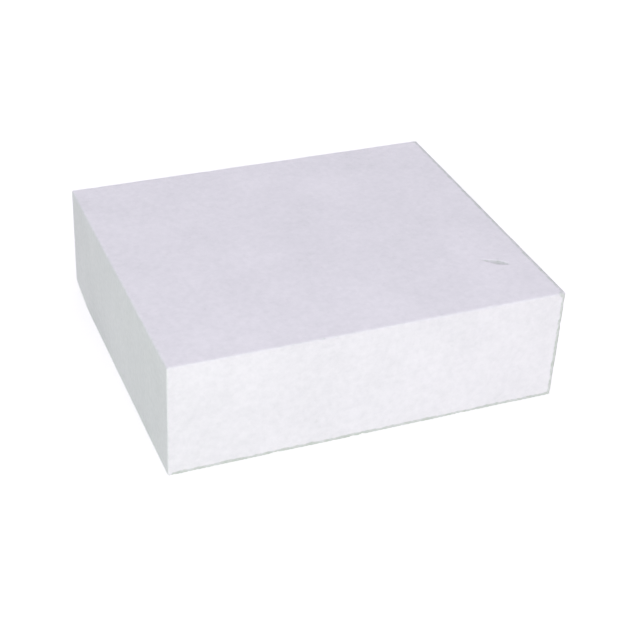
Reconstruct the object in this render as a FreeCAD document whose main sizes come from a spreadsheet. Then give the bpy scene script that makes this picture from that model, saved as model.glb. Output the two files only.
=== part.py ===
"""Gymnastics chalk block: one rectangular block of pressed magnesium carbonate.

Frame: millimetres, +Z up. The origin is the centre of the underside, +X runs along the
long side of the block and the front face looks along -Y.

The block is a single piece. A padded rectangle gives the sawn block, its back left bottom
corner is worn down to a small facet, every edge is slightly rounded, as friable chalk is,
and a short nick is scored in the top face near the front right corner.
"""

import FreeCAD, Part
import os
import Sketcher

NODE = "chalk_block"
PARTS_FOLDER = "parts"

# Alias, value in millimetres or degrees, and what it measures.
DIMENSIONS = [
    ("block_width", 82.5, "long side of the block, along X"),
    ("block_depth", 70.0, "short side of the block, along Y"),
    ("block_height", 25.0, "thickness of the block, along Z"),
    ("edge_radius", 0.4, "rounding of every edge"),
    ("wear_along_back", 1.8, "worn corner: reach along the back bottom edge"),
    ("wear_along_left", 10.0, "worn corner: reach along the left bottom edge"),
    ("wear_upward", 2.4, "worn corner: reach up the back left edge"),
    ("nick_from_right", 8.2, "centre of the nick, in from the right face"),
    ("nick_from_front", 15.1, "centre of the nick, in from the front face"),
    ("nick_length", 6.3, "length of the nick"),
    ("nick_breadth", 1.75, "breadth of the nick at its middle"),
    ("nick_deepness", 0.45, "depth of the nick at its middle"),
    ("nick_turn", -35.0, "direction of the nick about Z, from +X, in degrees"),
]


def make_sheet(doc):
    """The driving dimensions, one aliased cell each."""
    sheet = doc.addObject("Spreadsheet::Sheet", "Dimensions")
    for row, (alias, value, meaning) in enumerate(DIMENSIONS, start=1):
        sheet.set(f"A{row}", meaning)
        sheet.set(f"B{row}", str(value))
        sheet.setAlias(f"B{row}", alias)
    doc.recompute()
    return sheet


def origin_plane(body, role):
    """One of the body's own origin planes, found by its role."""
    return next(item for item in body.Origin.OriginFeatures if item.Role == role)


def attach(feature, body):
    """Sits a sketch or a primitive on the underside plane of the block."""
    feature.AttachmentSupport = [(origin_plane(body, "XY_Plane"), "")]
    feature.MapMode = "FlatFace"


def outline_sketch(body):
    """The rectangle that the block is sawn to, centred on the origin."""
    sketch = body.newObject("Sketcher::SketchObject", "OutlineSketch")
    attach(sketch, body)

    corners = [
        FreeCAD.Vector(-10, -10, 0),
        FreeCAD.Vector(10, -10, 0),
        FreeCAD.Vector(10, 10, 0),
        FreeCAD.Vector(-10, 10, 0),
    ]
    for start, end in zip(corners, corners[1:] + corners[:1]):
        sketch.addGeometry(Part.LineSegment(start, end), False)

    front, right, back, left = range(4)
    start_point, end_point = 1, 2
    sketch_origin = (-1, 1)
    for line, following in [(front, right), (right, back), (back, left), (left, front)]:
        sketch.addConstraint(
            Sketcher.Constraint("Coincident", line, end_point, following, start_point)
        )
    for line in (front, back):
        sketch.addConstraint(Sketcher.Constraint("Horizontal", line))
    for line in (right, left):
        sketch.addConstraint(Sketcher.Constraint("Vertical", line))
    sketch.addConstraint(
        Sketcher.Constraint("Symmetric", front, start_point, back, start_point, *sketch_origin)
    )

    for line, name, alias in [(front, "Width", "block_width"), (right, "Depth", "block_depth")]:
        length = corners[0].distanceToPoint(corners[1])
        index = sketch.addConstraint(Sketcher.Constraint("Distance", line, length))
        sketch.renameConstraint(index, name)
        sketch.setExpression(f"Constraints.{name}", f"Dimensions.{alias}")
    return sketch


def saw_block(body):
    """The plain block: the outline padded up to the thickness."""
    pad = body.newObject("PartDesign::Pad", "SawnBlock")
    pad.Profile = outline_sketch(body)
    pad.setExpression("Length", "Dimensions.block_height")
    return pad


def wear_corner(body):
    """The worn corner: a flat cut through one point on each of the corner's three edges.

    The cutter is a disc-ended cylinder. Its flat end lies in the plane of the three points,
    over their centroid, and it stands outwards from there, along the plane's normal.
    """
    cutter = body.newObject("PartDesign::SubtractiveCylinder", "WornCorner")
    attach(cutter, body)
    reach = "Dimensions.wear_along_back", "Dimensions.wear_along_left", "Dimensions.wear_upward"
    back, left, up = reach
    steepness = f"sqrt(1 / {back} ^ 2 + 1 / {left} ^ 2 + 1 / {up} ^ 2)"
    centroid = (
        f"vector(-Dimensions.block_width / 2 + {back} / 3; "
        f"Dimensions.block_depth / 2 - {left} / 3; {up} / 3)"
    )
    outwards = f"rotation(atan2(1 / {left}; -1 / {back}); acos(-1 / {up} / {steepness}); 0)"
    cutter.setExpression("AttachmentOffset", f"placement({centroid}; {outwards})")
    cutter.setExpression("Radius", f"({back} + {left} + {up}) * 1 mm")
    cutter.setExpression("Height", f"({back} + {up}) * 1 mm")
    return cutter


def round_edges(body, base):
    """The small rounding that handling gives to every edge."""
    fillet = body.newObject("PartDesign::Fillet", "SoftEdges")
    fillet.Base = (base, [""])
    fillet.UseAllEdges = True
    fillet.setExpression("Radius", "Dimensions.edge_radius")
    return fillet


def score_nick(body):
    """The nick: the lower half of a long, flat ellipsoid, sunk into the top face."""
    cutter = body.newObject("PartDesign::SubtractiveEllipsoid", "Nick")
    attach(cutter, body)
    centre = (
        "vector(Dimensions.block_width / 2 - Dimensions.nick_from_right; "
        "-Dimensions.block_depth / 2 + Dimensions.nick_from_front; Dimensions.block_height)"
    )
    turn = "rotation(Dimensions.nick_turn; 0; 0)"
    cutter.setExpression("AttachmentOffset", f"placement({centre}; {turn})")
    cutter.setExpression("Radius1", "Dimensions.nick_deepness * 1 mm")
    cutter.setExpression("Radius2", "Dimensions.nick_length / 2 * 1 mm")
    cutter.setExpression("Radius3", "Dimensions.nick_breadth / 2 * 1 mm")
    return cutter


def check_removed(doc, feature, volume_before):
    """Recomputes, and makes sure that a cutting feature really took material away."""
    doc.recompute()
    removed = volume_before - feature.Shape.Volume
    if removed <= 0:
        raise ValueError(f"{feature.Name} removes nothing")
    print(f"{feature.Name} removes {removed:.2f} mm3")
    return feature.Shape.Volume


def make_block(doc):
    """The chalk block, feature by feature."""
    body = doc.addObject("PartDesign::Body", "ChalkBlock")
    body.Label = NODE
    body.Placement = FreeCAD.Placement()

    pad = saw_block(body)
    doc.recompute()
    volume = pad.Shape.Volume
    corner = wear_corner(body)
    volume = check_removed(doc, corner, volume)
    edges = round_edges(body, corner)
    volume = check_removed(doc, edges, volume)
    nick = score_nick(body)
    check_removed(doc, nick, volume)
    body.Tip = nick
    doc.recompute()
    return body


def check_document(doc, body):
    """Stops on any feature that failed, and on a block that isn't one valid solid."""
    for item in doc.Objects:
        if {"Invalid", "Error"} & set(item.State):
            raise ValueError(f"{item.Name} is in state {item.State}")
    if body.Shape.isNull() or not body.Shape.isValid():
        raise ValueError(f"{body.Label} has no valid shape")
    if len(body.Shape.Solids) != 1:
        raise ValueError(f"{body.Label} has {len(body.Shape.Solids)} solids")


document = FreeCAD.newDocument("GymChalkBlock")
make_sheet(document)
block = make_block(document)
check_document(document, block)

os.makedirs(PARTS_FOLDER, exist_ok=True)
block.Shape.exportStep(f"{PARTS_FOLDER}/{block.Label}.step")
box = block.Shape.optimalBoundingBox(False, False)
print(f"{block.Label}: {box.XLength:.2f} x {box.YLength:.2f} x {box.ZLength:.2f} mm")
print(f"{block.Label}: {block.Shape.Volume / 1000:.2f} cm3, {len(block.Shape.Faces)} faces")
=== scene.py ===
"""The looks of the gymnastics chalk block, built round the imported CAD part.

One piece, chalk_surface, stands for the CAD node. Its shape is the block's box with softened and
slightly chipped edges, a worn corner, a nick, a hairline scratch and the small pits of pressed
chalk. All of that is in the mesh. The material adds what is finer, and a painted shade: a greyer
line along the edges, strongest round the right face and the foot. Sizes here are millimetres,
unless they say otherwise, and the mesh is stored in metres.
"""

import math

import bpy
import numpy as np
from mathutils import Matrix, Quaternion, Vector


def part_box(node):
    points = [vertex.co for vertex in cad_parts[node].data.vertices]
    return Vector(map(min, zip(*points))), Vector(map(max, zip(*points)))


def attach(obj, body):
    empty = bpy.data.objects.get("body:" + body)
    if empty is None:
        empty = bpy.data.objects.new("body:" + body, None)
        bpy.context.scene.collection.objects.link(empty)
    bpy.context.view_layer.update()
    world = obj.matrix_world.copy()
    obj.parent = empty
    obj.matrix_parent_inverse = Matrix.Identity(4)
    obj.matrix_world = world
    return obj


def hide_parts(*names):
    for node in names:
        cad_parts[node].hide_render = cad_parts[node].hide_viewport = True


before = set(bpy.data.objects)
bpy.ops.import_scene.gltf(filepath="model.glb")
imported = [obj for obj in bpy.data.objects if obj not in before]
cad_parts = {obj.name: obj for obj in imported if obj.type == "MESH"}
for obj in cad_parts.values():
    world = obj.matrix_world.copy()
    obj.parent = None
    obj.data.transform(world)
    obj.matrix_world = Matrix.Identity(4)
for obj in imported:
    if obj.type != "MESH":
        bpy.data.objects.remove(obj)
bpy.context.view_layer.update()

NODE = "chalk_block"
MM = 0.001
NOTHING = 1e-6              # a length under it counts as none
SEED = 7


# ---------------------------------------------------------------- the block's shape, in mm

BLOCK_LOW, BLOCK_HIGH = (np.array(corner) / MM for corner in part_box(NODE))
BLOCK_SIZE = BLOCK_HIGH - BLOCK_LOW
BLOCK_CENTRE = (BLOCK_LOW + BLOCK_HIGH) / 2

EDGE_RADIUS = 0.38          # mean rounding of an edge
RIGHT_EDGE_RADIUS = 0.55    # the same for the edges of the right face, which are more rubbed
EDGE_RADIUS_SPREAD = 0.14   # how much the rounding varies along an edge
EDGE_LUMPS = 5.0            # how long the stretches are over which it varies
EDGE_CHIP = 0.5             # extra rounding where the edge has crumbled
CHIP_LUMPS = 2.2            # how long the crumbled stretches are
CHIP_START = 0.34           # noise level at which an edge starts to crumble
CHIP_RISE = 0.4             # further rise in the noise that gives the whole extra rounding
CHIP_LIMIT = 1.2            # most of EDGE_CHIP that a stretch gets
SMALLEST_RADIUS = 0.22
UNEVENNESS = 0.045          # how far a face strays from flat
UNEVENNESS_LUMPS = 14.0

EDGE_BAND = 1.0             # strip beside each edge that gets the finer grid
EDGE_SPACING = 0.075
FACE_SPACING = 0.24
NICK_SPACING = 0.12
FINAL_TRIANGLES = 180_000

# The worn corner: a plane through one point on each of the three edges of the back left
# bottom corner, given by how far from the corner each point lies, along X, Y and Z.
WEAR_REACH = np.array([1.6, 9.0, 2.0])
WEAR_SOFTNESS = 0.6
WEAR_ROUGHNESS = 0.12
WEAR_LUMPS = 2.5

# The nick in the top face: centre from the right and front faces, and a shallow dish beside it.
NICK_FROM_RIGHT = 8.2
NICK_FROM_FRONT = 15.1
NICK_LENGTH = 6.3
NICK_BREADTH = 1.75
NICK_DEPTH = 0.45
NICK_TURN = math.radians(-35)
NICK_TAIL = 1.35            # over 1 puts the broadest part past the middle
NICK_FULLNESS = 0.6         # under 1 keeps it broad nearer to its ends
NICK_STEEPNESS = 3          # over 1 flattens its bottom and steepens its sides
NICK_RAGGEDNESS = 0.3
NICK_LUMPS = 0.9
DISH_RADIUS = 3.2
DISH_DEPTH = 0.05
DISH_ASIDE = 0.7            # how far beside the nick's middle it is, in its own radii

PIT_COUNT = 1500
PIT_RADIUS = (0.15, 0.45)
PIT_SLOPE = 0.2             # depth over radius
DENT_COUNT = 60
DENT_RADIUS = (1.0, 3.5)
DENT_DEPTH = 0.03
SMALLNESS = 2.5             # over 1 makes most pits and dents small ones
HOLLOW_SOFTNESS = 1.5       # over 1 gives a pit or a dent a soft rim

# The hairline scratch on the front face, as a broken row of tiny pits.
SCRATCH_FROM_RIGHT = (4.3, 16.2)
SCRATCH_FROM_TOP = (1.6, 13.7)
SCRATCH_PITS = 17
SCRATCH_JITTER = 0.5        # how uneven the row is, over the spacing of its pits

# Large odd numbers that mix a cell's place and the seed well, and the largest mixed number.
AXIS_MIXERS = np.array([73856093, 19349663, 83492791])
SEED_MIXER = 2654435761
FIRST_MIXER = 1274126177
SECOND_MIXER = 668265263
LARGEST = 0x7FFFFFFF


def hashed(cell, seed):
    """A repeatable number from 0 to 1 for each whole-numbered cell (N, 3)."""
    mixed = cell.astype(np.int64) @ AXIS_MIXERS + seed * SEED_MIXER
    mixed = (mixed ^ (mixed >> 13)) * FIRST_MIXER & LARGEST
    mixed = (mixed ^ (mixed >> 16)) * SECOND_MIXER & LARGEST
    return mixed / LARGEST


def value_noise(points, size, seed):
    """Smooth noise from -1 to 1 whose lumps are about size across."""
    scaled = points / size
    cell = np.floor(scaled)
    part = scaled - cell
    part = part * part * (3 - 2 * part)
    total = np.zeros(len(points))
    for corner in np.ndindex(2, 2, 2):
        step = np.array(corner)
        weight = np.prod(np.where(step, part, 1 - part), axis=1)
        total += weight * hashed(cell + step, seed)
    return 2 * total - 1


def layered_noise(points, size, seed, layers=3):
    """Value noise with finer layers added, each half as large and half as strong."""
    total, strength = 0, 0
    for layer in range(layers):
        share = 0.5**layer
        total = total + share * value_noise(points, size * share, seed + layer)
        strength += share
    return total / strength


def grid_lines(low, high, finer=None):
    """Grid positions from low to high, closer together beside both ends and in finer."""
    spans = [(low, low + EDGE_BAND, EDGE_SPACING)]
    if finer:
        spans.append((low + EDGE_BAND, finer[0], FACE_SPACING))
        spans.append((finer[0], finer[1], NICK_SPACING))
        spans.append((finer[1], high - EDGE_BAND, FACE_SPACING))
    else:
        spans.append((low + EDGE_BAND, high - EDGE_BAND, FACE_SPACING))
    spans.append((high - EDGE_BAND, high, EDGE_SPACING))
    lines = [
        np.linspace(start, end, round((end - start) / spacing), endpoint=False)
        for start, end, spacing in spans
    ]
    return np.append(np.concatenate(lines), high)


def box_grid(lines):
    """The points and quads of a box's surface, cut by grid lines along X, Y and Z."""
    counts = np.array([len(line) for line in lines])
    quads = []
    for axis in range(3):
        across, up = (axis + 1) % 3, (axis + 2) % 3
        first, second = np.meshgrid(
            np.arange(counts[across] - 1), np.arange(counts[up] - 1), indexing="ij"
        )
        for side in (0, counts[axis] - 1):
            ring = [(0, 0), (1, 0), (1, 1), (0, 1)] if side else [(0, 0), (0, 1), (1, 1), (1, 0)]
            corners = []
            for step_across, step_up in ring:
                index = [None, None, None]
                index[axis] = np.full(first.size, side)
                index[across] = first.ravel() + step_across
                index[up] = second.ravel() + step_up
                corners.append(np.ravel_multi_index(index, counts))
            quads.append(np.stack(corners, axis=1))
    used, quads = np.unique(np.concatenate(quads), return_inverse=True)
    cells = np.unravel_index(used, counts)
    points = np.stack([line[cell] for line, cell in zip(lines, cells)], axis=1)
    return points, quads.reshape(-1, 4)


def rounded(points):
    """The box with its edges rounded, and the outward direction at each point."""
    lumpy = layered_noise(points, EDGE_LUMPS, SEED)
    crumbled = np.clip(layered_noise(points, CHIP_LUMPS, SEED + 10) - CHIP_START, 0, None)
    crumbled = np.minimum(crumbled / CHIP_RISE, CHIP_LIMIT)
    beside_right = np.clip(1 - (BLOCK_HIGH[0] - points[:, 0]) / EDGE_BAND, 0, 1)
    radius = EDGE_RADIUS + (RIGHT_EDGE_RADIUS - EDGE_RADIUS) * beside_right
    radius += EDGE_RADIUS_SPREAD * lumpy + EDGE_CHIP * crumbled
    radius = np.maximum(radius, SMALLEST_RADIUS)[:, None]
    core = np.clip(points, BLOCK_LOW + radius, BLOCK_HIGH - radius)
    outward = points - core
    outward /= np.linalg.norm(outward, axis=1, keepdims=True)
    return core + radius * outward, outward


def worn(points):
    """Presses the back left bottom corner in onto its wear plane, with a soft shoulder."""
    corner = np.array([BLOCK_LOW[0], BLOCK_HIGH[1], BLOCK_LOW[2]])
    normal = np.array([-1, 1, -1]) / WEAR_REACH
    reach = 1 / np.linalg.norm(normal)
    normal = normal * reach
    beyond = (points - corner) @ normal + reach
    beyond += WEAR_ROUGHNESS * layered_noise(points, WEAR_LUMPS, SEED + 20)
    soft = np.clip((beyond + WEAR_SOFTNESS) / (2 * WEAR_SOFTNESS), 0, 1)
    pressed = np.where(beyond > WEAR_SOFTNESS, beyond, WEAR_SOFTNESS * soft**2)
    return points - pressed[:, None] * normal


def nick_depth(points):
    """How deep the nick and the shallow dish beside it are at each point."""
    centre = np.array([BLOCK_HIGH[0] - NICK_FROM_RIGHT, BLOCK_LOW[1] + NICK_FROM_FRONT])
    offset = points[:, :2] - centre
    along = offset @ np.array([math.cos(NICK_TURN), math.sin(NICK_TURN)])
    aside = offset @ np.array([-math.sin(NICK_TURN), math.cos(NICK_TURN)])
    on_top = points[:, 2] > BLOCK_HIGH[2] - EDGE_BAND

    # Broadest past the middle, and drawn out to a thin tail at the other end.
    share = np.clip(along / NICK_LENGTH + 0.5, 0, 1)
    outline = np.sin(math.pi * share**NICK_TAIL) ** NICK_FULLNESS
    ragged = 1 + NICK_RAGGEDNESS * layered_noise(points, NICK_LUMPS, SEED + 30)
    half_breadth = np.maximum(NICK_BREADTH / 2 * outline * ragged, NOTHING)
    across = np.clip(np.abs(aside) / half_breadth, 0, 1)
    nick = NICK_DEPTH * outline * (1 - across**NICK_STEEPNESS)

    away = np.hypot(along, aside - DISH_RADIUS * DISH_ASIDE) / DISH_RADIUS
    dish = DISH_DEPTH * np.clip(1 - away**2, 0, 1) ** 2
    return np.where(on_top, nick + dish, 0)


def scattered(count, low_radius, high_radius, rng):
    """Centres spread evenly over the block's surface, and a radius for each, mostly small."""
    areas = np.array([BLOCK_SIZE[(axis + 1) % 3] * BLOCK_SIZE[(axis + 2) % 3] for axis in range(3)])
    axis = rng.choice(3, size=count, p=areas / areas.sum())
    centres = BLOCK_LOW + rng.random((count, 3)) * BLOCK_SIZE
    side = rng.random(count) < 0.5
    rows = np.arange(count)
    centres[rows, axis] = np.where(side, BLOCK_LOW[axis], BLOCK_HIGH[axis])
    radii = low_radius + (high_radius - low_radius) * rng.random(count) ** SMALLNESS
    return centres, radii


def scratch_pits(rng):
    """Centres and radii of the broken hairline on the front face."""
    share = (np.arange(SCRATCH_PITS) + SCRATCH_JITTER * rng.random(SCRATCH_PITS)) / SCRATCH_PITS
    centres = np.empty((SCRATCH_PITS, 3))
    centres[:, 0] = BLOCK_HIGH[0] - np.interp(share, (0, 1), SCRATCH_FROM_RIGHT)
    centres[:, 1] = BLOCK_LOW[1]
    centres[:, 2] = BLOCK_HIGH[2] - np.interp(share, (0, 1), SCRATCH_FROM_TOP)
    return centres, np.full(SCRATCH_PITS, PIT_RADIUS[0])


def hollows(points, centres, radii, depths):
    """The depth of round-bottomed hollows at each point, found box by box."""
    depth = np.zeros(len(points))
    order = np.argsort(points[:, 0])
    sorted_x = points[order, 0]
    for centre, radius, deepest in zip(centres, radii, depths):
        first, last = np.searchsorted(sorted_x, (centre[0] - radius, centre[0] + radius))
        near = order[first:last]
        distance = np.linalg.norm(points[near] - centre, axis=1) / radius
        inside = distance < 1
        found = deepest * (1 - distance[inside] ** 2) ** HOLLOW_SOFTNESS
        near = near[inside]
        depth[near] = np.maximum(depth[near], found)
    return depth


def chalk_points(grid):
    """The grid's points, moved to the chalk's surface, and how hollow each is."""
    rng = np.random.default_rng(SEED)
    points, outward = rounded(grid)
    pits, pit_radii = scattered(PIT_COUNT, *PIT_RADIUS, rng)
    dents, dent_radii = scattered(DENT_COUNT, *DENT_RADIUS, rng)
    scratch, scratch_radii = scratch_pits(rng)
    pit_depth = hollows(grid, pits, pit_radii, PIT_SLOPE * pit_radii)
    pit_depth += hollows(grid, scratch, scratch_radii, PIT_SLOPE * scratch_radii)
    dent_depth = hollows(grid, dents, dent_radii, np.full(DENT_COUNT, DENT_DEPTH))
    uneven = UNEVENNESS * (1 - layered_noise(grid, UNEVENNESS_LUMPS, SEED + 40)) / 2
    cut = nick_depth(points)
    points = points - outward * (uneven + pit_depth + dent_depth + cut)[:, None]
    return worn(points), pit_depth + cut


def mesh_from(name, points, quads):
    """A mesh from arrays of points and quads."""
    mesh = bpy.data.meshes.new(name)
    mesh.vertices.add(len(points))
    mesh.vertices.foreach_set("co", points.astype(np.float32).ravel())
    mesh.loops.add(quads.size)
    mesh.loops.foreach_set("vertex_index", quads.astype(np.int32).ravel())
    mesh.polygons.add(len(quads))
    mesh.polygons.foreach_set("loop_start", np.arange(0, quads.size, 4, dtype=np.int32))
    mesh.update(calc_edges=True)
    return mesh


def thinned(piece, triangles):
    """Thins the piece's mesh, so that its triangles gather where the surface bends."""
    modifier = piece.modifiers.new("thin", "DECIMATE")
    modifier.ratio = triangles / (2 * len(piece.data.polygons))
    evaluated = piece.evaluated_get(bpy.context.evaluated_depsgraph_get())
    full = piece.data
    piece.data = bpy.data.meshes.new_from_object(evaluated)
    piece.modifiers.clear()
    bpy.data.meshes.remove(full)


def make_block():
    """The chalk block, as one closed mesh."""
    nick = np.array([BLOCK_HIGH[0] - NICK_FROM_RIGHT, BLOCK_LOW[1] + NICK_FROM_FRONT])
    finer = [(at - NICK_LENGTH / 2, at + NICK_LENGTH / 2) for at in nick] + [None]
    lines = [grid_lines(*span) for span in zip(BLOCK_LOW, BLOCK_HIGH, finer)]
    grid, quads = box_grid(lines)
    points, hollow = chalk_points(grid)
    mesh = mesh_from("chalk_surface", points, quads)
    attribute = mesh.attributes.new("hollow", "FLOAT", "POINT")
    attribute.data.foreach_set("value", hollow.astype(np.float32))
    piece = bpy.data.objects.new("chalk_surface", mesh)
    bpy.context.scene.collection.objects.link(piece)
    thinned(piece, FINAL_TRIANGLES)
    piece.data.transform(Matrix.Scale(MM, 4))
    piece.data.shade_smooth()
    return piece


# ---------------------------------------------------------------- the chalk's material

class Nodes:
    """Short calls for adding and joining the nodes of one material or world."""

    def __init__(self, owner):
        owner.use_nodes = True
        self.tree = owner.node_tree
        self.tree.nodes.clear()

    def add(self, kind, inputs=None, **settings):
        node = self.tree.nodes.new(kind)
        for name, value in settings.items():
            setattr(node, name, value)
        for name, value in (inputs or {}).items():
            if isinstance(value, bpy.types.NodeSocket):
                self.tree.links.new(value, node.inputs[name])
            else:
                node.inputs[name].default_value = value
        return node

    def vector(self, operation, first, second=None):
        """A vector changed by a Vector Math node, by itself, by a scale or by a second vector."""
        second_input = "Scale" if operation == "SCALE" else 1
        inputs = {0: first} if second is None else {0: first, second_input: second}
        return self.add("ShaderNodeVectorMath", inputs, operation=operation).outputs["Vector"]

    def split(self, vector):
        """The X, Y and Z of a vector."""
        return self.add("ShaderNodeSeparateXYZ", {"Vector": vector}).outputs[:]


NOISE_RANGE = (0.3, 0.7)    # most of a noise texture's values are in it


def noise(nodes, place, scale, detail=3.0, roughness=0.55):
    """A noise texture's value, at a scale in lumps per metre."""
    texture = nodes.add(
        "ShaderNodeTexNoise",
        {"Vector": place, "Scale": scale, "Detail": detail, "Roughness": roughness},
    )
    return texture.outputs["Fac"]


def remapped(nodes, value, from_low, from_high, to_low, to_high):
    """A value stretched from one range to another, and held inside it."""
    node = nodes.add(
        "ShaderNodeMapRange",
        {
            "Value": value,
            "From Min": from_low,
            "From Max": from_high,
            "To Min": to_low,
            "To Max": to_high,
        },
    )
    return node.outputs["Result"]


def spread(nodes, value, low, high):
    """A noise texture's value stretched to fill the range from low to high."""
    return remapped(nodes, value, *NOISE_RANGE, low, high)


def combined(nodes, operation, first, second):
    """Two values joined by a Math node."""
    return nodes.add("ShaderNodeMath", {0: first, 1: second}, operation=operation).outputs[0]


# Painted shade: a greyer line along all edges but the left ones, strongest round the right face and
# the foot.
EDGE_SHADE_WIDTH = 1.1          # where it is strongest, round the right face
EDGE_SHADE_FADE = 0.3           # how softly it ends
EDGE_SHADE_FOOT = 0.9           # its strength round the foot, from 0 to 1
EDGE_SHADE_ELSEWHERE = 0.3      # its strength on the other edges
EDGE_SHADE_FAR_FACES = 0.35     # how much is left of it on the right, back and bottom faces themselves
EDGE_SHADE_FAR_DEPTHS = (0.02, 0.1)   # depths under those faces between which the whole line is back
EDGE_SHADE_TOP = 0.78           # how much is left of it on the top face
EDGE_SHADE_TOP_DEPTH = 1.5      # depth under the top face at which the whole line is back
EDGE_SHADE_WAVE_SCALE = 600.0   # in lumps per metre
EDGE_SHADE_WAVES = (0.8, 1.2)   # how its width varies
EDGE_SHADE_PATCH_SCALE = 330.0  # in lumps per metre
EDGE_SHADE_PATCHES = (0.7, 1.3)       # how its strength varies


def painted_edge_shade(nodes, place):
    """How much painted shade the chalk gets, from 0 on the faces to 1 along the edges of the right
    face.

    The distance to the nearest edge is the middle one of the distances to the nearer end, to
    the nearer of the front and the back, and to the nearer of the top and the underside.
    """
    half = BLOCK_SIZE / 2
    centred = nodes.vector("SUBTRACT", nodes.vector("SCALE", place, 1 / MM), tuple(BLOCK_CENTRE))
    inwards = nodes.vector("SUBTRACT", tuple(half), nodes.vector("ABSOLUTE", centred))
    along_x, along_y, along_z = nodes.split(inwards)
    nearer = combined(nodes, "MINIMUM", along_x, along_y)
    farther = combined(nodes, "MAXIMUM", along_x, along_y)
    to_edge = combined(nodes, "MAXIMUM", nearer, combined(nodes, "MINIMUM", farther, along_z))

    rightwards, backwards, upwards = nodes.split(centred)
    to_right = combined(nodes, "SUBTRACT", half[0], rightwards)
    to_left = combined(nodes, "ADD", half[0], rightwards)
    to_back = combined(nodes, "SUBTRACT", half[1], backwards)
    to_foot = combined(nodes, "ADD", half[2], upwards)
    to_top = combined(nodes, "SUBTRACT", half[2], upwards)
    reach = EDGE_SHADE_WIDTH, 2 * EDGE_SHADE_WIDTH
    strength = remapped(nodes, to_foot, *reach, EDGE_SHADE_FOOT, EDGE_SHADE_ELSEWHERE)
    off_left = remapped(nodes, to_left, EDGE_SHADE_FADE, 3 * EDGE_SHADE_FADE, 0.0, 1.0)
    strength = combined(nodes, "MULTIPLY", strength, off_left)
    strength = combined(nodes, "MAXIMUM", strength, remapped(nodes, to_right, *reach, 1.0, 0.0))

    waves = spread(nodes, noise(nodes, place, EDGE_SHADE_WAVE_SCALE), *EDGE_SHADE_WAVES)
    width = combined(nodes, "MULTIPLY", combined(nodes, "MULTIPLY", strength, waves), EDGE_SHADE_WIDTH)
    line = remapped(nodes, combined(nodes, "SUBTRACT", width, to_edge), 0.0, EDGE_SHADE_FADE, 0.0, 1.0)
    patches = spread(nodes, noise(nodes, place, EDGE_SHADE_PATCH_SCALE), *EDGE_SHADE_PATCHES)
    patchy = combined(nodes, "MINIMUM", combined(nodes, "MULTIPLY", strength, patches), 1.0)

    to_far = combined(nodes, "MINIMUM", combined(nodes, "MINIMUM", to_right, to_back), to_foot)
    far_share = remapped(nodes, to_far, *EDGE_SHADE_FAR_DEPTHS, EDGE_SHADE_FAR_FACES, 1.0)
    top_share = remapped(nodes, to_top, 0.0, EDGE_SHADE_TOP_DEPTH, EDGE_SHADE_TOP, 1.0)
    share = combined(nodes, "MULTIPLY", far_share, top_share)
    return combined(nodes, "MULTIPLY", combined(nodes, "MULTIPLY", line, patchy), share)


# The chalk's colours from the darkest, at shade 0, to the lightest, at shade 1. The darkest is
# reached almost only by the painted shade in the hollows, the pores and along the edges.
DARKEST = (0.62, 0.67, 0.61, 1.0)
MIDDLING = (0.855, 0.86, 0.865, 1.0)
LIGHTEST = (0.95, 0.95, 0.955, 1.0)
MIDDLING_SHADE = 0.5
BARE_CHALK_SHADE = 0.7           # the shade of flat chalk, before any painted shade

# What moves the shade, and by how much. Scales are in lumps per metre.
BROAD_MOTTLE_SCALE = 60.0
BROAD_MOTTLE = 0.12
FINE_MOTTLE_SCALE = 900.0
FINE_MOTTLE = 0.18
PORE_SCALE = 1500.0
# Painted shade in the fine open pores, which are too small for the mesh.
PORE_PAINTED_SHADE = 0.12
PORE_SIZE = (0.05, 0.3)     # from where there are few to where there are many, over their spacing
PORE_FADE = 0.1             # how softly a pore ends, over the same spacing
PORE_PATCH_SCALE = 400.0
PORE_PATCH_RANGE = (0.45, 0.75)   # noise levels of the patches with few pores and with many
# Painted shade in the nick and the pits, greyer the deeper they are.
HOLLOW_PAINTED_SHADE = 0.5
HOLLOW_SHADE_DEPTHS = (0.02, 0.2)       # depths between which a hollow gets its painted shade
# Painted shade along the edges: how far it moves the shade.
EDGE_SHADE_GREY = 0.65

# Relief too fine for the mesh, and the gloss.
GRAIN_SCALE = 3200.0
GRAIN_RELIEF = 0.6
SAW_SCALE = 1400.0
SAW_RELIEF = 0.5
SAW_STRETCH = 0.04          # the scale along the saw's lines, over the scale across them
BUMP_STRENGTH = 0.5
BUMP_HEIGHT = 0.06
ROUGHNESS = (0.9, 1.0)
DIFFUSE_ROUGHNESS = 0.3
SPECULAR_LEVEL = 0.15


def open_pores(nodes, place):
    """1 in the fine open pores, which come in patches, and 0 between them."""
    spacing = nodes.add(
        "ShaderNodeTexVoronoi", {"Vector": place, "Scale": PORE_SCALE, "Randomness": 1.0}
    ).outputs["Distance"]
    size = remapped(nodes, noise(nodes, place, PORE_PATCH_SCALE), *PORE_PATCH_RANGE, *PORE_SIZE)
    return remapped(nodes, combined(nodes, "SUBTRACT", size, spacing), 0.0, PORE_FADE, 0.0, 1.0)


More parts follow.
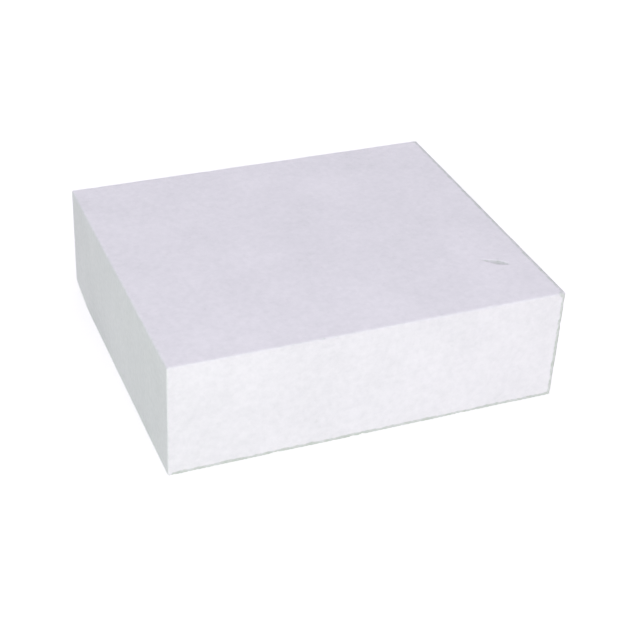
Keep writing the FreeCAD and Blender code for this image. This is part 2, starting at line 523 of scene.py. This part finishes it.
def chalk_colour(nodes, place, fine, pore):
    """Two scales of faint mottling, with painted shade in the hollows, the pores and along edges.
    """
    broad = noise(nodes, place, BROAD_MOTTLE_SCALE, detail=2.0)
    mottle = combined(
        nodes,
        "ADD",
        spread(nodes, broad, -BROAD_MOTTLE, BROAD_MOTTLE),
        spread(nodes, fine, -FINE_MOTTLE, FINE_MOTTLE),
    )
    hollow = nodes.add("ShaderNodeAttribute", attribute_name="hollow").outputs["Fac"]
    # Painted shade: the pores, the hollows and the edges move the shade towards the darkest colour.
    greys = [
        combined(nodes, "MULTIPLY", pore, PORE_PAINTED_SHADE),
        remapped(nodes, hollow, *HOLLOW_SHADE_DEPTHS, 0.0, HOLLOW_PAINTED_SHADE),
        combined(nodes, "MULTIPLY", painted_edge_shade(nodes, place), EDGE_SHADE_GREY),
    ]
    shade = combined(nodes, "ADD", mottle, BARE_CHALK_SHADE)
    for grey in greys:
        shade = combined(nodes, "SUBTRACT", shade, grey)

    ramp = nodes.add("ShaderNodeValToRGB", {"Fac": shade})
    darkest, lightest = ramp.color_ramp.elements
    darkest.color = DARKEST
    lightest.color = LIGHTEST
    ramp.color_ramp.elements.new(MIDDLING_SHADE).color = MIDDLING
    return ramp.outputs["Color"]


def chalk_relief(nodes, place, pore):
    """Grain, pores, and the faint lines that the saw leaves, as a bumped normal."""
    along_saw = nodes.add(
        "ShaderNodeMapping", {"Vector": place, "Scale": (SAW_STRETCH, 1.0, 1.0)}
    ).outputs["Vector"]
    saw = noise(nodes, along_saw, SAW_SCALE, detail=2.0)
    grain = noise(nodes, place, GRAIN_SCALE, detail=4.0, roughness=0.7)
    raised = combined(
        nodes,
        "ADD",
        combined(nodes, "MULTIPLY", grain, GRAIN_RELIEF),
        combined(nodes, "MULTIPLY", saw, SAW_RELIEF),
    )
    relief = combined(nodes, "SUBTRACT", raised, pore)
    bump = {"Height": relief, "Strength": BUMP_STRENGTH, "Distance": BUMP_HEIGHT * MM}
    return nodes.add("ShaderNodeBump", bump).outputs["Normal"]


def chalk_material():
    """Pressed magnesium carbonate: dead matt, off-white, faintly mottled, with fine open pores."""
    material = bpy.data.materials.new("pressed_chalk")
    nodes = Nodes(material)
    place = nodes.add("ShaderNodeTexCoord").outputs["Object"]
    fine = noise(nodes, place, FINE_MOTTLE_SCALE, detail=4.0, roughness=0.65)
    pore = open_pores(nodes, place)
    shader = nodes.add(
        "ShaderNodeBsdfPrincipled",
        {
            "Base Color": chalk_colour(nodes, place, fine, pore),
            "Roughness": spread(nodes, fine, *ROUGHNESS),
            "Diffuse Roughness": DIFFUSE_ROUGHNESS,
            "Specular IOR Level": SPECULAR_LEVEL,
            "Normal": chalk_relief(nodes, place, pore),
        },
    )
    nodes.add("ShaderNodeOutputMaterial", {"Surface": shader.outputs["BSDF"]})
    return material


# ---------------------------------------------------------------- floor, light and camera

FLOOR_RADIUS = 3.0          # in metres
FLOOR_SIDES = 96
FLOOR_DROP = 0.05 * MM      # keeps the floor clear of the block's underside
FLOOR_COLOUR = (0.8, 0.8, 0.8)
VEIL_NEAR = 0.45            # white added to what the camera sees of the floor, by the block
VEIL_FAR = 1.05             # the same from VEIL_REACH away
VEIL_REACH = 0.4            # in metres
WHITE = (1.0, 1.0, 1.0, 1.0)
SURROUND = 0.5              # strength of the world as light
BACKDROP = 1.1              # strength of the world as the camera sees it


def floor_material():
    """White card that the camera sees overexposed, and that is clear when seen from below.

    Light from below also passes through it under the block, so the underside can be looked at.
    """
    material = bpy.data.materials.new("white_card")
    nodes = Nodes(material)
    place = nodes.add("ShaderNodeTexCoord").outputs["Object"]
    half = (BLOCK_SIZE[0] / 2 * MM, BLOCK_SIZE[1] / 2 * MM, FLOOR_RADIUS)
    beyond = nodes.vector("SUBTRACT", nodes.vector("ABSOLUTE", place), half)
    outside = nodes.vector("MAXIMUM", beyond, (0.0, 0.0, 0.0))
    away = nodes.add("ShaderNodeVectorMath", {0: outside}, operation="LENGTH").outputs["Value"]
    seen = nodes.add("ShaderNodeLightPath").outputs["Is Camera Ray"]
    veil = remapped(nodes, away, 0.0, VEIL_REACH, VEIL_NEAR, VEIL_FAR)
    matt = nodes.add("ShaderNodeBsdfDiffuse", {"Color": (*FLOOR_COLOUR, 1.0)})
    glow = nodes.add(
        "ShaderNodeEmission",
        {"Color": WHITE, "Strength": combined(nodes, "MULTIPLY", veil, seen)},
    )
    card = nodes.add("ShaderNodeAddShader", {0: matt.outputs[0], 1: glow.outputs[0]})

    below = nodes.add("ShaderNodeNewGeometry").outputs["Backfacing"]
    hidden = combined(nodes, "SUBTRACT", combined(nodes, "LESS_THAN", away, NOTHING), seen)
    clear = combined(nodes, "MAXIMUM", below, hidden)
    mix = nodes.add(
        "ShaderNodeMixShader",
        {0: clear, 1: card.outputs[0], 2: nodes.add("ShaderNodeBsdfTransparent").outputs[0]},
    )
    nodes.add("ShaderNodeOutputMaterial", {"Surface": mix.outputs[0]})
    return material


def make_floor():
    """A pale round floor, just under the block."""
    turns = np.linspace(0, 2 * math.pi, FLOOR_SIDES, endpoint=False)
    ring = [(FLOOR_RADIUS * math.cos(a), FLOOR_RADIUS * math.sin(a), -FLOOR_DROP) for a in turns]
    mesh = bpy.data.meshes.new("floor")
    mesh.from_pydata(ring, [], [range(FLOOR_SIDES)])
    mesh.materials.append(floor_material())
    floor = bpy.data.objects.new("floor", mesh)
    bpy.context.scene.collection.objects.link(floor)


def make_world():
    """A dim even surround for light, shown to the camera as white."""
    world = bpy.data.worlds.new("studio")
    bpy.context.scene.world = world
    nodes = Nodes(world)
    surround = nodes.add("ShaderNodeBackground", {"Color": WHITE, "Strength": SURROUND})
    backdrop = nodes.add("ShaderNodeBackground", {"Color": WHITE, "Strength": BACKDROP})
    seen = nodes.add("ShaderNodeLightPath").outputs["Is Camera Ray"]
    mix = nodes.add(
        "ShaderNodeMixShader", {0: seen, 1: surround.outputs[0], 2: backdrop.outputs[0]}
    )
    nodes.add("ShaderNodeOutputWorld", {"Surface": mix.outputs[0]})


def direction(azimuth, elevation):
    turn, rise = math.radians(azimuth), math.radians(elevation)
    return Vector(
        (math.sin(turn) * math.cos(rise), -math.cos(turn) * math.cos(rise), math.sin(rise))
    )


def softbox(name, azimuth, elevation, distance, size, radiance):
    """A square soft light aimed at the block, and hidden from the camera.

    Its distance and size are in metres, and its radiance is red, green and blue.
    """
    data = bpy.data.lights.new(name, "AREA")
    data.shape = "SQUARE"
    data.size = size
    data.energy = math.pi * size * size    # a radiance of 1, before its colour
    data.color = radiance
    light = bpy.data.objects.new(name, data)
    outward = direction(azimuth, elevation)
    light.location = Vector(BLOCK_CENTRE) * MM + outward * distance
    light.rotation_euler = outward.to_track_quat("Z", "Y").to_euler()
    light.visible_camera = False
    bpy.context.scene.collection.objects.link(light)


def make_lights():
    """Softboxes in front, overhead, low on the left and weak behind, and one under the floor."""
    softbox("front_softbox", -8, 22, 0.7, 0.5, (2.55, 2.45, 2.53))
    softbox("top_softbox", -40, 77, 0.7, 0.6, (0.52, 0.39, 0.83))
    softbox("left_softbox", -62, 5, 0.3, 0.16, (0.35, 0.81, 0.28))
    softbox("back_softbox", 150, 12, 0.7, 0.5, (1.1, 1.1, 1.1))
    softbox("under_softbox", 120, -50, 0.7, 0.5, (2.5, 2.5, 2.6))


CAMERA_AZIMUTH = -23.0
CAMERA_ELEVATION = 32.3
CAMERA_DISTANCE = 3.74      # from the block's centre, in block widths
CAMERA_AIM = (0.1, -2.5, -3.5)   # where it looks, from the block's centre
CAMERA_ROLL = 2.86
CAMERA_LENS = 84.6
CAMERA_SENSOR = 36.0
CAMERA_CLIP = (0.01, 20.0)  # in metres


def make_camera():
    """The camera, at the viewing angle of the reference view."""
    data = bpy.data.cameras.new("camera")
    data.sensor_width = CAMERA_SENSOR
    data.lens = CAMERA_LENS
    data.clip_start, data.clip_end = CAMERA_CLIP
    camera = bpy.data.objects.new("camera", data)
    centre = Vector(BLOCK_CENTRE) * MM
    back = direction(CAMERA_AZIMUTH, CAMERA_ELEVATION)
    camera.location = centre + back * CAMERA_DISTANCE * BLOCK_SIZE[0] * MM
    look = centre + Vector(CAMERA_AIM) * MM - camera.location
    level = look.to_track_quat("-Z", "Y")
    camera.rotation_mode = "QUATERNION"
    camera.rotation_quaternion = level @ Quaternion((0, 0, 1), math.radians(CAMERA_ROLL))
    bpy.context.scene.collection.objects.link(camera)
    bpy.context.scene.camera = camera


# ---------------------------------------------------------------- putting it together

block = make_block()
block.data.materials.append(chalk_material())
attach(block, "root")
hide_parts(NODE)

make_floor()
make_world()
make_lights()
make_camera()
bpy.context.scene.view_settings.view_transform = "Standard"
